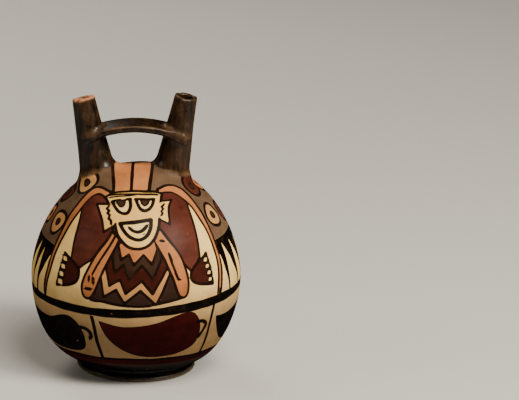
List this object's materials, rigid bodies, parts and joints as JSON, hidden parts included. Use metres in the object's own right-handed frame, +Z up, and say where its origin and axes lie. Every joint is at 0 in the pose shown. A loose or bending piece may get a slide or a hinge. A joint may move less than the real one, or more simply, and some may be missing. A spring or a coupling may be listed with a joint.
{
  "type": "double-spout bottle",
  "caption": "Round painted pottery bottle on a low foot ring, with two leaning spouts joined by an arched strap bridge.",
  "frame": {"origin": "under the middle of the body, on the plane the foot ring stands on", "axes": "+Z up; the painted front faces -Y; the two spouts stand along X, the worn shorter one at -X"},
  "size_m": [0.15, 0.15, 0.2008],
  "materials": {
    "slipped_clay": "burnished slip"
  },
  "bodies": {
    "root": {"bottle": "slipped_clay"}
  },
  "joints": []
}
